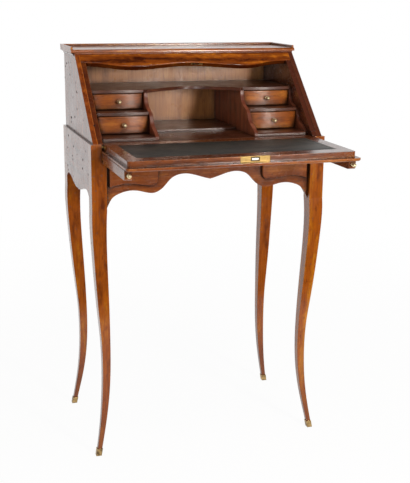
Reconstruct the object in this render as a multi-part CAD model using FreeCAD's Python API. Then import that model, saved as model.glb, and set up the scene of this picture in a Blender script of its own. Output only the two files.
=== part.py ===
"""Escritoire: a small slant-front writing desk on four cabriole legs, drawn open.

Millimetres, +Z up, +X to the sitter's right, the sitter at -Y. The model is laid out with y = 0 at the
middle of the lower case and moved at export, so that the origin lies on the floor under the middle of the
open desk.
"""
import math
import os

import FreeCAD
import Part
from FreeCAD import Vector

# Overall sizes of the lower case and the writing surface
case_width = 559.0
case_depth = 349.0
writing_height = 749.0
cut_overrun = 5.0
board_clearance = 0.3

# Legs, square in section: a straight post, then a sweep inward and out again to the foot
post_width = 34.0
post_tongue_width = 24.0
knee_height = 600.0
leg_sway = 16.0
# height, inward sway across and along the desk, and width of each section, as shares of knee height,
# sway and post width
leg_section_shares = (
    (1.000, 0.00, 0.00, 1.000),
    (0.940, -0.08, -0.08, 0.970),
    (0.785, 0.12, 0.12, 0.870),
    (0.617, 0.50, 0.53, 0.765),
    (0.472, 0.84, 0.90, 0.606),
    (0.340, 0.90, 1.00, 0.535),
    (0.188, 0.50, 0.70, 0.435),
    (0.052, -0.33, 0.05, 0.325),
    (0.000, -0.70, -0.16, 0.300),
)
sabot_height = 17.0
sabot_wall = 1.3
sabot_sole = 3.0
sabot_step_shares = (0.0, 0.5, 1.0)

# Aprons between the legs
apron_setback = 1.0
front_apron_setback = 3.0
front_apron_thickness = 18.0
back_apron_thickness = 18.0
back_apron_drop = 99.0
front_apron_drop = 119.0
front_arch_rise = 44.0
# half of the lower edge, from the leg to the middle: shares of half the width and of the arch
front_scallop_shares = (
    (1.000, -0.70),
    (0.972, -0.38),
    (0.940, -0.10),
    (0.870, 0.13),
    (0.790, 0.24),
    (0.680, 0.20),
    (0.545, 0.07),
    (0.455, 0.34),
    (0.375, 0.80),
    (0.257, 1.00),
    (0.090, 0.80),
    (0.000, 0.66),
)
field_relief = 9.0
field_rounding = 2.0
# lower edge of a raised field, from the leg inwards, in the same shares
field_shares = (
    (0.972, 0.49),
    (0.915, 0.57),
    (0.830, 0.645),
    (0.750, 0.63),
    (0.660, 0.55),
    (0.590, 0.50),
    (0.545, 0.54),
    (0.520, 0.70),
    (0.512, 0.90),
)
side_apron_drop = 127.0
side_arch_rise = 16.0
side_scallop_shares = ((1.00, 0.25), (0.82, 1.00), (0.47, 0.60), (0.24, 0.08), (0.00, 0.00))

# Bed board, the floor of the upper case
bed_thickness = 12.0
bed_joint_clearance = 0.5
bearer_width = 12.0
bearer_height = 25.0

# Slant of the upper case, and its two sides
slant_angle = 43.07
ledge_width = 5.75
upper_back_inset = 5.5
upper_height = 186.3
side_thickness = 22.25
side_rebate_width = 11.5
side_rebate_depth = 1.5
side_rebate_toe = 16.0
back_panel_thickness = 10.0
back_panel_rebate = 6.0

# Flap, a lipped board that turns on a pin at each end
flap_thickness = 19.0
flap_pivot_depth = 6.4
flap_pivot_inset = 6.2
flap_side_clearance = 1.0
lip_thickness = 6.6
lip_gap = 0.4
lip_side_reach = 6.5
lip_front_reach = 14.5
lip_start = 9.7
lip_rounding = 4.0
flap_corner_rounding = 8.0
flap_edge_clearance = 1.5
leather_thickness = 0.8
leather_side_border = 27.0
leather_front_border = 40.0
leather_rear_border = 27.5

# Pivot fittings at the ends of the flap
pin_radius = 2.4
pin_running_clearance = 0.05
bush_radius = 4.2
bush_length = 6.5
pin_end_clearance = 0.6
pivot_boss_radius = 4.0
pivot_boss_gap = 0.3
pivot_plate_thickness = 2.0
pivot_plate_half_height = 4.2
pivot_plate_ahead = 26.0
pivot_plate_behind = 6.0
screw_head_radius = 1.9
screw_shank_radius = 1.1
screw_length = 11.0
pivot_screw_shares = (0.38, 0.82)

# Lock let into the free edge of the flap
lock_centre_x = 20.0
lock_plate_length = 65.0
lock_plate_thickness = 1.6
lock_screw_reach = 25.0
lock_case_width = 42.0
lock_case_depth = 34.0
lock_case_height = 8.4
bolt_width = 15.0
bolt_thickness = 4.0
bolt_length = 27.0
bolt_clearance = 0.3
bolt_grip = 5.0
keyhole_radius = 2.3
keyhole_slot_width = 2.2
keyhole_slot_length = 7.0
key_axis_inset = 19.0
escutcheon_half_width = 7.0
escutcheon_half_height = 10.0
escutcheon_thickness = 1.0
strike_length = 30.0
strike_width = 6.4
strike_thickness = 1.4

# Frieze board above the opening, lying in the slant
frieze_thickness = 13.0
frieze_end_drop = 31.0
frieze_low_drop = 44.0
frieze_centre_drop = 34.0
frieze_rounding = 2.6
# where the lowest point lies, from the middle to the end of the opening
frieze_low_share = 0.625

# Top board, its gallery and the mouldings under it
top_thickness = 7.5
top_side_overhang = 7.75
top_front_overhang = 1.5
top_back_overhang = 8.0
top_edge_rounding = 5.5
gallery_height = 6.0
gallery_thickness = 5.0
gallery_front_setback = 6.0
gallery_rounding = 2.0
bead_radius = 2.2
bead_drop = 3.4
cove_width = 6.0
cove_height = 7.0
cove_front_setback = 6.0
cove_lip = 1.5

# Lopers, the pull-out rails that carry the open flap, and their guides
loper_width = 16.0
loper_height = 21.0
loper_tail = 90.0
loper_rear_room = 44.5
loper_clearance = 0.3
loper_knob_radius = 4.5
loper_toe_rounding = 6.5
guide_floor = 6.4
guide_wall = 7.0
peg_radius = 3.0
peg_depth = 8.0
peg_inset = 12.0
peg_slot_clearance = 0.4

# Fitted interior: shelf, partitions, linings, dividers and plinths
shelf_height = 104.0
shelf_thickness = 7.0
divider_height = 58.0
divider_thickness = 7.0
plinth_height = 8.0
plinth_rounding = 4.0
plinth_front_setback = 33.5
partition_thickness = 8.5
lining_thickness = 6.5
lining_setback = 8.0
centre_width = 231.0
centre_floor_thickness = 5.0
centre_floor_depth = 171.0
shelf_centre_depth = 197.0
shelf_centre_hollow = 63.0
upper_drawer_depth = 188.0
lower_drawer_depth = 239.0
front_swell = 6.0
shelf_overhang = 1.0
# the raked front of a partition, from foot to head: shares of its run and of its rise
partition_rake_shares = ((0.00, 0.00), (0.22, 0.15), (0.40, 0.26), (0.54, 0.49), (0.78, 0.62), (1.00, 1.00))
# how much of a swelled edge's depth is reached a quarter of the way along it
swell_quarter_share = 0.75
hollow_quarter_share = 0.65

# Four small drawers
drawer_clearance = 0.9
drawer_rise_clearance = 0.9
drawer_front_thickness = 12.0
drawer_wall = 6.0
drawer_bottom_thickness = 4.0
drawer_bottom_raise = 2.5
drawer_wall_drop = 4.0
drawer_back_clearance = 2.0
drawer_front_rounding = 2.5
drawer_knob_radius = 5.0

# Turned knobs, in shares of the radius of the ball
knob_neck_share = 0.45
knob_flange_share = 0.85
knob_flange_thickness_share = 0.25
knob_neck_length_share = 1.05
knob_stem_share = 0.36
knob_stem_length_share = 1.8

# Values that follow from the sizes above
half_case = case_width / 2
front_y = -case_depth / 2
back_y = case_depth / 2
post_inner_x = half_case - post_width
ledge_z = writing_height
half_upper = half_case - ledge_width
inner_x = half_upper - side_thickness
upper_back_y = back_y - upper_back_inset
top_z = ledge_z + upper_height
back_inner_y = upper_back_y - back_panel_thickness
slant_cos = math.cos(math.radians(slant_angle))
slant_sin = math.sin(math.radians(slant_angle))
closing_angle = 180.0 - slant_angle
flap_pivot_y = front_y + flap_pivot_inset
pivot_z = writing_height - flap_pivot_depth
flap_bottom_z = writing_height - flap_thickness
flap_nose_radius = flap_thickness - flap_pivot_depth
rebate_z = flap_bottom_z + lip_thickness
slant_offset = pivot_z - rebate_z - lip_gap
slant_foot_y = flap_pivot_y - slant_offset * slant_sin
slant_foot_z = pivot_z + slant_offset * slant_cos
slant_reach = (top_z - slant_foot_z) / slant_sin
slant_top_y = slant_foot_y + slant_reach * slant_cos
slant_toe = (ledge_z - slant_foot_z) / slant_sin
slant_ledge_y = slant_foot_y + slant_toe * slant_cos
flap_reach = slant_reach - frieze_low_drop - flap_edge_clearance
flap_edge_y = flap_pivot_y - flap_reach
flap_front_y = flap_edge_y - lip_front_reach
flap_half = inner_x - flap_side_clearance
lip_half = flap_half + lip_side_reach
top_back_y = upper_back_y + top_back_overhang
top_front_y = slant_top_y - top_front_overhang
half_top = half_upper + top_side_overhang
origin_y = (flap_front_y + top_back_y) / 2
bed_bottom_z = writing_height - bed_thickness
loper_top_z = flap_bottom_z - loper_clearance
loper_bottom_z = loper_top_z - loper_height
loper_slot_x = half_case - post_tongue_width
loper_outer_x = loper_slot_x - loper_clearance
loper_inner_x = loper_outer_x - loper_width
loper_slot_inner_x = loper_inner_x - loper_clearance
loper_seat_z = loper_bottom_z - loper_clearance
loper_travel = case_depth - loper_rear_room - loper_tail
loper_front_y = front_y - loper_travel
loper_length = loper_travel + loper_tail
peg_y = loper_front_y + loper_length - peg_inset
peg_z = loper_bottom_z + loper_height / 2
apron_front_y = front_y + front_apron_setback
apron_back_y = apron_front_y + front_apron_thickness
apron_top_z = loper_top_z - loper_clearance
shelf_top_z = ledge_z + shelf_height
shelf_bottom_z = shelf_top_z - shelf_thickness
divider_top_z = ledge_z + divider_height
divider_bottom_z = divider_top_z - divider_thickness
plinth_top_z = ledge_z + plinth_height
plinth_front = front_y + plinth_front_setback
centre_floor_front = back_inner_y - centre_floor_depth
shelf_centre_front = back_inner_y - shelf_centre_depth
upper_drawer_front = back_inner_y - upper_drawer_depth
lower_drawer_front = back_inner_y - lower_drawer_depth
partition_inner_x = centre_width / 2
partition_outer_x = partition_inner_x + partition_thickness
lining_inner_x = inner_x - lining_thickness
bolt_throw = flap_edge_clearance + frieze_low_drop - frieze_centre_drop + strike_thickness + bolt_grip
bolt_z = (rebate_z + writing_height) / 2

X_AXIS = Vector(1, 0, 0)
Y_AXIS = Vector(0, 1, 0)
Z_AXIS = Vector(0, 0, 1)
PIVOT = Vector(0, flap_pivot_y, pivot_z)


def box(x0, x1, y0, y1, z0, z1):
    """A box between two corners."""
    return Part.makeBox(x1 - x0, y1 - y0, z1 - z0, Vector(x0, y0, z0))


def rod(radius, start, axis, length):
    """A round bar from a point along an axis."""
    return Part.makeCylinder(radius, length, start, axis)


def curve(points, start=None, end=None):
    """A smooth edge through points, with its end directions where they are given."""
    line = Part.BSplineCurve()
    if start and end:
        line.interpolate(Points=points, InitialTangent=start, FinalTangent=end)
    else:
        line.interpolate(points)
    return line.toShape()


def path(points):
    """Straight edges from point to point."""
    return [Part.makeLine(a, b) for a, b in zip(points, points[1:])]


def slab(edges, direction):
    """The solid between a closed outline and its copy moved by a direction."""
    return Part.Face(Part.Wire(Part.__sortEdges__(edges))).extrude(direction)


def mirrored(shape):
    """The same piece for the other side of the desk."""
    return shape.mirror(Vector(0, 0, 0), X_AXIS)


def closed(shape):
    """A shape drawn on the open flap, turned to where it lies when the flap is shut."""
    turned = shape.copy()
    turned.rotate(PIVOT, X_AXIS, -closing_angle)
    return turned


def rounded(shape, radius, chosen):
    """A shape with the edges that a test picks rounded."""
    return shape.makeFillet(radius, [edge for edge in shape.Edges if chosen(edge)])


def level(edge, z):
    """Whether an edge lies at one height."""
    return abs(edge.BoundBox.ZMin - z) < board_clearance and abs(edge.BoundBox.ZMax - z) < board_clearance


def section(x, y, z, width):
    """A square outline about a point."""
    half = width / 2
    corners = [(-half, -half), (half, -half), (half, half), (-half, half), (-half, -half)]
    return Part.makePolygon([Vector(x + a, y + b, z) for a, b in corners])


def leg_shares_at(height_share):
    """The sways and the width of a leg at a share of its knee height."""
    for upper, lower in zip(leg_section_shares, leg_section_shares[1:]):
        if height_share >= lower[0]:
            break
    along = (height_share - lower[0]) / (upper[0] - lower[0])
    return [low + along * (high - low) for low, high in zip(lower[1:], upper[1:])]


def leg_section(height_share, front, grown):
    """The outline of a right-hand leg at a share of its knee height, grown on every side."""
    across, inward, width = leg_shares_at(height_share)
    x = half_case - post_width / 2 - across * leg_sway
    y = front_y + post_width / 2 + inward * leg_sway
    return section(x, y if front else -y, height_share * knee_height, width * post_width + 2 * grown)


def leg(front):
    """A right-hand leg: the swept lower part and the square post."""
    swept = Part.makeLoft([leg_section(s[0], front, 0) for s in leg_section_shares], True)
    far = half_case + case_width
    swept = swept.cut(box(0, far, -far, far, -cut_overrun, sabot_sole))
    y0 = front_y if front else back_y - post_width
    post = box(post_inner_x, half_case, y0, y0 + post_width, knee_height, ledge_z)
    whole = swept.fuse(post).removeSplitter()
    if front:
        slot = box(
            post_inner_x - cut_overrun,
            loper_slot_x,
            y0 - cut_overrun,
            y0 + post_width + cut_overrun,
            loper_seat_z,
            ledge_z + cut_overrun,
        )
        whole = whole.cut(slot)
        whole = whole.cut(rod(bush_radius, Vector(loper_slot_x, flap_pivot_y, pivot_z), X_AXIS, bush_length))
    return whole


def sabot(front, whole_leg):
    """The brass shoe that takes the end of a right-hand leg."""
    reach_share = sabot_height / knee_height
    rings = [leg_section(s * reach_share, front, sabot_wall) for s in sabot_step_shares]
    return Part.makeLoft(rings, True, True).cut(whole_leg)


def scallop(shares, half, low_z, rise, flip):
    """Half of a shaped lower edge, from its end to the middle."""
    return [(flip * s[0] * half, low_z + s[1] * rise) for s in shares]


def raised_field(low_z):
    """The right-hand field that stands proud of the front apron."""
    points = scallop(field_shares, post_inner_x, low_z, front_arch_rise, 1)
    outer_x = points[0][0]
    inner_x_here = points[-1][0]
    points = [Vector(x, apron_front_y, z) for x, z in points]
    top = [Vector(x, apron_front_y, apron_top_z) for x in (inner_x_here, outer_x)]
    outline = [curve(points)] + path([points[-1]] + top + [points[0]])

    def front_arris(edge):
        return edge.BoundBox.YMax < apron_front_y + board_clearance and not level(edge, apron_top_z)

    return rounded(slab(outline, Y_AXIS * front_apron_thickness), field_rounding, front_arris)


def front_apron():
    """The shaped front board, with two raised fields and room for the lopers at its top corners."""
    half = post_inner_x
    low_z = ledge_z - front_apron_drop
    border_y = apron_front_y + field_relief
    edges = []
    for flip in (1, -1):
        half_edge = scallop(front_scallop_shares, half, low_z, front_arch_rise, flip)
        edges.append(curve([Vector(x, border_y, z) for x, z in half_edge]))
    end_z = low_z + front_scallop_shares[0][1] * front_arch_rise
    ends = [(half, end_z), (half, apron_top_z), (-half, apron_top_z), (-half, end_z)]
    edges += path([Vector(x, border_y, z) for x, z in ends])
    board = slab(edges, Y_AXIS * (front_apron_thickness - field_relief))
    field = raised_field(low_z)
    board = board.fuse(field).fuse(mirrored(field)).removeSplitter()
    slot = box(
        loper_slot_inner_x,
        half + cut_overrun,
        apron_front_y - cut_overrun,
        apron_back_y + cut_overrun,
        loper_seat_z,
        apron_top_z + cut_overrun,
    )
    return board.cut(slot).cut(mirrored(slot))


def side_apron():
    """The right-hand board between a front and a rear leg, shaped along its lower edge."""
    half = back_y - post_width
    low_z = ledge_z - side_apron_drop
    x = loper_slot_x
    edges = []
    for flip in (1, -1):
        half_edge = scallop(side_scallop_shares, half, low_z, side_arch_rise, flip)
        edges.append(curve([Vector(x, y, z) for y, z in half_edge]))
    end_z = low_z + side_scallop_shares[0][1] * side_arch_rise
    ends = [(half, end_z), (half, ledge_z), (-half, ledge_z), (-half, end_z)]
    edges += path([Vector(x, y, z) for y, z in ends])
    return slab(edges, X_AXIS * (half_case - x))


def back_apron():
    """The plain board between the rear legs."""
    y1 = back_y - apron_setback
    return box(-post_inner_x, post_inner_x, y1 - back_apron_thickness, y1, ledge_z - back_apron_drop, ledge_z)


def bed_board():
    """The floor of the upper case, its front hollowed and bevelled for the rear of the turning flap."""
    rear_post_y = back_y - post_width - board_clearance
    half = loper_slot_x - board_clearance
    rear_half = post_inner_x - board_clearance
    rear_y = back_y - apron_setback - back_apron_thickness
    board = box(-half, half, flap_pivot_y, rear_post_y, bed_bottom_z, writing_height)
    board = board.fuse(box(-rear_half, rear_half, rear_post_y, rear_y, bed_bottom_z, writing_height))
    hollow = rod(
        flap_nose_radius + bed_joint_clearance,
        Vector(-half - cut_overrun, flap_pivot_y, pivot_z),
        X_AXIS,
        2 * (half + cut_overrun),
    )
    shut_flap = closed(
        box(-half, half, flap_edge_y, flap_pivot_y, rebate_z, writing_height + bed_joint_clearance)
    )
    return board.removeSplitter().cut(hollow).cut(shut_flap)


def bed_bearer():
    """The strip behind the front apron that carries the front of the bed board."""
    half = loper_slot_inner_x - board_clearance
    return box(
        -half, half, apron_back_y, apron_back_y + bearer_width, bed_bottom_z - bearer_height, bed_bottom_z
    )


def loper_guide():
    """The right-hand channel in which a loper runs, slotted for its stop peg."""
    y0 = front_y + post_width
    y1 = back_y - post_width
    x0 = loper_slot_inner_x - guide_wall
    guide = box(x0, loper_slot_x, y0, y1, loper_seat_z - guide_floor, bed_bottom_z)
    channel = box(
        loper_slot_inner_x,
        loper_slot_x + cut_overrun,
        y0 - cut_overrun,
        y1 + cut_overrun,
        loper_seat_z,
        loper_top_z + loper_clearance,
    )
    reach = peg_radius + peg_slot_clearance
    slot = box(
        x0 - cut_overrun,
        loper_slot_inner_x + cut_overrun,
        peg_y - reach,
        peg_y + loper_travel + reach,
        peg_z - reach,
        peg_z + reach,
    )
    return guide.cut(channel).cut(slot)


def knob(radius, seat, axis):
    """A turned knob: ball, neck, flange and the stem let into the wood behind it."""
    flange = radius * knob_flange_thickness_share
    neck = radius * knob_neck_length_share
    stem = radius * knob_stem_length_share
    ball = Part.makeSphere(radius, seat + axis * (neck + radius))
    parts = [
        rod(radius * knob_flange_share, seat, axis, flange),
        rod(radius * knob_neck_share, seat, axis, neck + radius),
        rod(radius * knob_stem_share, seat - axis * stem, axis, stem + flange),
    ]
    return ball.multiFuse(parts).removeSplitter()


def knob_hole(radius, seat, axis):
    """The hole for the stem of a knob."""
    stem = radius * knob_stem_length_share
    return rod(radius * knob_stem_share, seat - axis * stem, axis, stem + cut_overrun)


def loper():
    """A right-hand loper with holes for its knob and peg, its knob and its peg, drawn out."""
    y1 = loper_front_y + loper_length
    bar = box(loper_inner_x, loper_outer_x, loper_front_y, y1, loper_bottom_z, loper_top_z)

    def toe(edge):
        return level(edge, loper_bottom_z) and edge.BoundBox.YMax < loper_front_y + loper_clearance

    bar = rounded(bar, loper_toe_rounding, toe)
    seat = Vector((loper_inner_x + loper_outer_x) / 2, loper_front_y, peg_z)
    out = -Y_AXIS
    bar = bar.cut(knob_hole(loper_knob_radius, seat, out))
    peg_start = Vector(loper_inner_x + peg_depth, peg_y, peg_z)
    peg = rod(peg_radius, peg_start, -X_AXIS, peg_depth + loper_clearance + guide_wall)
    return bar.cut(peg), knob(loper_knob_radius, seat, out), peg


def slant_block(x0, x1, low_drop, high_drop, depth):
    """A block behind the slant, between two distances below its top end."""
    y_low = flap_pivot_y - slant_reach + low_drop
    y_high = flap_pivot_y - slant_reach + high_drop
    face_z = pivot_z - slant_offset
    return closed(box(x0, x1, y_high, y_low, face_z, face_z + depth))


def upper_side():
    """The right-hand slanted side, rebated for the flap, the frieze and the back panel."""
    outline = [
        (slant_ledge_y, ledge_z),
        (upper_back_y, ledge_z),
        (upper_back_y, top_z),
        (slant_top_y, top_z),
        (slant_ledge_y, ledge_z),
    ]
    panel = slab(path([Vector(inner_x, y, z) for y, z in outline]), X_AXIS * side_thickness)
    rebate_x = inner_x + side_rebate_width
    rebate_end = slant_reach - slant_toe - side_rebate_toe
    rebate = slant_block(inner_x - cut_overrun, rebate_x, rebate_end, frieze_end_drop, side_rebate_depth)
    over = -2 * frieze_thickness
    housing = slant_block(inner_x - cut_overrun, rebate_x, frieze_end_drop, over, frieze_thickness)
    back_cut = box(
        inner_x - cut_overrun,
        inner_x + back_panel_rebate,
        back_inner_y,
        upper_back_y + cut_overrun,
        ledge_z - cut_overrun,
        top_z + cut_overrun,
    )
    return panel.cut(rebate).cut(housing).cut(back_cut)


def back_panel():
    """The board that closes the back of the upper case."""
    half = inner_x + back_panel_rebate
    return box(-half, half, back_inner_y, upper_back_y, ledge_z, top_z)


def strike_cutter(grown):
    """The slot in the strike and the frieze that takes the lock's bolt, and its clearance."""
    half = bolt_width / 2 + grown
    return closed(
        box(
            lock_centre_x - half,
            lock_centre_x + half,
            flap_edge_y - bolt_throw - grown,
            flap_edge_y,
            bolt_z - bolt_thickness / 2 - grown,
            bolt_z + bolt_thickness / 2 + grown,
        )
    )


def strike_blank(grown):
    """The outline of the strike plate, lying across the lower edge of the frieze."""
    seat_y = flap_pivot_y - slant_reach + frieze_centre_drop
    return closed(
        box(
            lock_centre_x - strike_length / 2,
            lock_centre_x + strike_length / 2,
            seat_y - strike_thickness,
            seat_y + grown,
            bolt_z - strike_width / 2,
            bolt_z + strike_width / 2,
        )
    )


def frieze():
    """The board above the opening, its lower edge waved and rounded, cut for the strike."""
    half = inner_x
    end = inner_x + side_rebate_width
    face_z = pivot_z - slant_offset
    top_y = flap_pivot_y - slant_reach

    def at(x, drop):
        return Vector(x, top_y + drop, face_z)

    low_x = half * frieze_low_share
    along = X_AXIS
    edges = [
        curve(
            [
                at(-half, frieze_end_drop),
                at(-low_x, frieze_low_drop),
                at(0, frieze_centre_drop),
                at(low_x, frieze_low_drop),
                at(half, frieze_end_drop),
            ],
            along,
            along,
        )
    ]
    over = -2 * frieze_thickness
    edges += path(
        [at(half, frieze_end_drop), at(end, frieze_end_drop), at(end, over), at(-end, over)]
        + [at(-end, frieze_end_drop), at(-half, frieze_end_drop)]
    )

    def lower_arris(edge):
        return level(edge, face_z) and edge.BoundBox.YMax > top_y + frieze_end_drop + board_clearance

    board = closed(rounded(slab(edges, Z_AXIS * frieze_thickness), frieze_rounding, lower_arris))
    above = box(-half_case, half_case, -case_depth, case_depth, top_z, top_z + case_depth)
    return board.cut(above).cut(strike_blank(frieze_low_drop)).cut(strike_cutter(bolt_clearance))


def strike_plate():
    """The brass plate on the frieze that the bolt shoots through."""
    return strike_blank(0).cut(strike_cutter(bolt_clearance))


def top_board():
    """The top, with its front edge rounded."""
    board = box(-half_top, half_top, top_front_y, top_back_y, top_z, top_z + top_thickness)

    def front_edge(edge):
        return level(edge, top_z + top_thickness) and edge.BoundBox.YMax < top_front_y + board_clearance

    return rounded(board, top_edge_rounding, front_edge)


def gallery_rails():
    """The low rails flush with the edges of the top board: right, left and back."""
    z0 = top_z + top_thickness
    z1 = z0 + gallery_height
    x1 = half_top
    x0 = x1 - gallery_thickness
    y1 = top_back_y
    y0 = y1 - gallery_thickness

    def crest(edge):
        return level(edge, z1) and edge.Length > gallery_thickness + board_clearance

    side = rounded(box(x0, x1, top_front_y + gallery_front_setback, y0, z0, z1), gallery_rounding, crest)
    back = rounded(box(-x1, x1, y0, y1, z0, z1), gallery_rounding, crest)
    return [side, mirrored(side), back]


def front_bead():
    """The half-round bead across the head of the frieze, under the front of the top."""
    face_z = pivot_z - slant_offset
    centre = Vector(-half_upper, flap_pivot_y - slant_reach + bead_drop, face_z)
    whole = rod(bead_radius, centre, X_AXIS, 2 * half_upper)
    behind = box(
        -half_case, half_case, centre.y - case_depth, centre.y + case_depth, face_z, face_z + case_depth
    )
    bead = closed(whole.cut(behind))
    return bead.cut(box(-half_case, half_case, -case_depth, case_depth, top_z, top_z + case_depth))


def side_cove():
    """The hollow moulding under the overhang of the top, on the right."""
    y0 = slant_top_y + cove_front_setback
    x0 = half_upper
    low_z = top_z - cove_height
    start = Vector(x0 + cove_lip, y0, low_z)
    end = Vector(x0 + cove_width, y0, top_z - cove_lip)
    middle_share = math.sqrt(1 / 2)
    middle = Vector(
        end.x - (cove_width - cove_lip) * middle_share, y0, low_z + (cove_height - cove_lip) * middle_share
    )
    hollow = Part.Arc(start, middle, end).toShape()
    corners = [end, Vector(end.x, y0, top_z), Vector(x0, y0, top_z), Vector(x0, y0, low_z), start]
    return slab([hollow] + path(corners), Y_AXIS * (upper_back_y - y0))


def swell_edge(x0, x1, y, swell, z, quarter_share=swell_quarter_share):
    """A front edge that swells forward in the middle."""
    middle = (x0 + x1) / 2
    quarter = (x1 - x0) / 4
    part_y = y - swell * quarter_share
    points = [(x0, y), (x0 + quarter, part_y), (middle, y - swell), (x1 - quarter, part_y), (x1, y)]
    return curve([Vector(x, at_y, z) for x, at_y in points])


def swelled_board(x0, x1, front, swell, rear, z0, z1):
    """A board with a swelled front edge."""
    corners = [Vector(x1, front, z0), Vector(x1, rear, z0), Vector(x0, rear, z0), Vector(x0, front, z0)]
    return slab([swell_edge(x0, x1, front, swell, z0)] + path(corners), Z_AXIS * (z1 - z0))


def shelf():
    """The full-width shelf: swelled over the drawers, hollowed between the partitions."""
    z = shelf_bottom_z
    half = inner_x - board_clearance
    front = upper_drawer_front - shelf_overhang
    step = shelf_centre_front
    right = swell_edge(partition_outer_x, half, front, front_swell, z)
    left = swell_edge(-half, -partition_outer_x, front, front_swell, z)
    hollow = -shelf_centre_hollow
    centre = swell_edge(-partition_inner_x, partition_inner_x, step, hollow, z, hollow_quarter_share)
    rear = back_inner_y
    edges = [right, left, centre]
    edges += path([Vector(partition_inner_x, step, z), Vector(partition_outer_x, front, z)])
    edges += path([Vector(-partition_inner_x, step, z), Vector(-partition_outer_x, front, z)])
    corners = [(half, front), (half, rear), (-half, rear), (-half, front)]
    edges += path([Vector(x, y, z) for x, y in corners])
    return slab(edges, Z_AXIS * shelf_thickness)


def upright(x, thickness, setback):
    """A right-hand upright between bed and shelf, with an S-shaped raked front."""
    foot_y = plinth_front + setback
    run = shelf_centre_front - plinth_front
    rise = shelf_bottom_z - plinth_top_z
    rake = [Vector(x, foot_y + s[0] * run, plinth_top_z + s[1] * rise) for s in partition_rake_shares]
    corners = [rake[-1], Vector(x, back_inner_y, shelf_bottom_z), Vector(x, back_inner_y, ledge_z)]
    corners += [Vector(x, foot_y, ledge_z), rake[0]]
    return slab([curve(rake)] + path(corners), X_AXIS * thickness)


def partition():
    """The right-hand upright between the drawers and the middle."""
    return upright(partition_inner_x, partition_thickness, 0)


def drawer_lining():
    """The right-hand upright between the drawers and the side of the case."""
    return upright(lining_inner_x, lining_thickness, lining_setback)


def drawer_divider():
    """The right-hand board between an upper and a lower drawer."""
    return swelled_board(
        partition_outer_x,
        lining_inner_x,
        lower_drawer_front - shelf_overhang,
        front_swell,
        back_inner_y,
        divider_bottom_z,
        divider_top_z,
    )


def drawer_plinth():
    """The right-hand base under the lower drawer, its front edge rounded."""
    board = box(partition_outer_x, lining_inner_x, plinth_front, back_inner_y, ledge_z, plinth_top_z)

    def nosing(edge):
        return level(edge, plinth_top_z) and edge.BoundBox.YMax < plinth_front + board_clearance

    return rounded(board, plinth_rounding, nosing)


def centre_floor():
    """The raised floor at the rear, between the partitions."""
    half = partition_inner_x
    z1 = ledge_z + centre_floor_thickness
    return box(-half, half, centre_floor_front, back_inner_y, ledge_z, z1)


def drawer(front_at, low_z, high_z):
    """A right-hand drawer: its front, walls, bottom and knob."""
    x0 = partition_outer_x + drawer_clearance
    x1 = lining_inner_x - drawer_clearance
    z0 = low_z + drawer_rise_clearance
    z1 = high_z - drawer_rise_clearance
    seam = front_at + drawer_front_thickness
    rear = back_inner_y - drawer_back_clearance
    front = swelled_board(x0, x1, front_at, front_swell, seam, z0, z1)
    front = rounded(front, drawer_front_rounding, lambda e: e.BoundBox.YMax < front_at + board_clearance)
    seat = Vector((x0 + x1) / 2, front_at - front_swell, (z0 + z1) / 2)
    front = front.cut(knob_hole(drawer_knob_radius, seat, -Y_AXIS))
    wall_top = z1 - drawer_wall_drop
    side = box(x0, x0 + drawer_wall, seam, rear, z0, wall_top)
    other = box(x1 - drawer_wall, x1, seam, rear, z0, wall_top)
    back = box(x0 + drawer_wall, x1 - drawer_wall, rear - drawer_wall, rear, z0, wall_top)
    floor_z = z0 + drawer_bottom_raise
    floor_top_z = floor_z + drawer_bottom_thickness
    bottom = box(x0 + drawer_wall, x1 - drawer_wall, seam, rear - drawer_wall, floor_z, floor_top_z)
    return front, [side, other, back], bottom, knob(drawer_knob_radius, seat, -Y_AXIS)


def pivot_fitting():
    """A right-hand pivot plate with its boss and pin."""
    z0 = pivot_z - pivot_plate_half_height
    z1 = pivot_z + pivot_plate_half_height
    x1 = flap_half
    x0 = x1 - pivot_plate_thickness
    plate = box(x0, x1, flap_pivot_y - pivot_plate_ahead, flap_pivot_y + pivot_plate_behind, z0, z1)
    centre = Vector(x0, flap_pivot_y, pivot_z)
    boss = rod(pivot_boss_radius, centre, X_AXIS, loper_slot_x - pivot_boss_gap - x0)
    pin = rod(pin_radius, centre, X_AXIS, loper_slot_x + bush_length - pin_end_clearance - x0)
    return plate.fuse(boss).fuse(pin).removeSplitter()


def pivot_bush():
    """The right-hand brass bush in the front leg."""
    start = Vector(loper_slot_x, flap_pivot_y, pivot_z)
    hole = rod(pin_radius + pin_running_clearance, start, X_AXIS, bush_length)
    return rod(bush_radius, start, X_AXIS, bush_length).cut(hole)


def screw(head, axis, plate):
    """A flush screw: a head as thick as the plate that it holds, and its shank."""
    shank = rod(screw_shank_radius, head, axis, screw_length)
    return rod(screw_head_radius, head, axis, plate).fuse(shank).removeSplitter()


def pivot_screws():
    """The two screws of the right-hand pivot plate."""
    run = pivot_plate_ahead
    places = [Vector(flap_half, flap_pivot_y - s * run, pivot_z) for s in pivot_screw_shares]
    return [screw(place, -X_AXIS, pivot_plate_thickness) for place in places]


def lock_screws():
    """The two screws of the lock plate."""
    places = [Vector(lock_centre_x + flip * lock_screw_reach, flap_edge_y, bolt_z) for flip in (-1, 1)]
    return [screw(place, Y_AXIS, lock_plate_thickness) for place in places]


def lock_plate_blank():
    """The outline of the lock plate on the free edge of the flap."""
    half = lock_plate_length / 2
    return box(
        lock_centre_x - half,
        lock_centre_x + half,
        flap_edge_y,
        flap_edge_y + lock_plate_thickness,
        rebate_z,
        writing_height,
    )


def lock_case_blank(grown):
    """The outline of the lock case in its mortise."""
    half = lock_case_width / 2 + grown
    y0 = flap_edge_y + lock_plate_thickness
    return box(
        lock_centre_x - half,
        lock_centre_x + half,
        y0,
        y0 + lock_case_depth + grown,
        bolt_z - lock_case_height / 2 - grown,
        bolt_z + lock_case_height / 2 + grown,
    )


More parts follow.
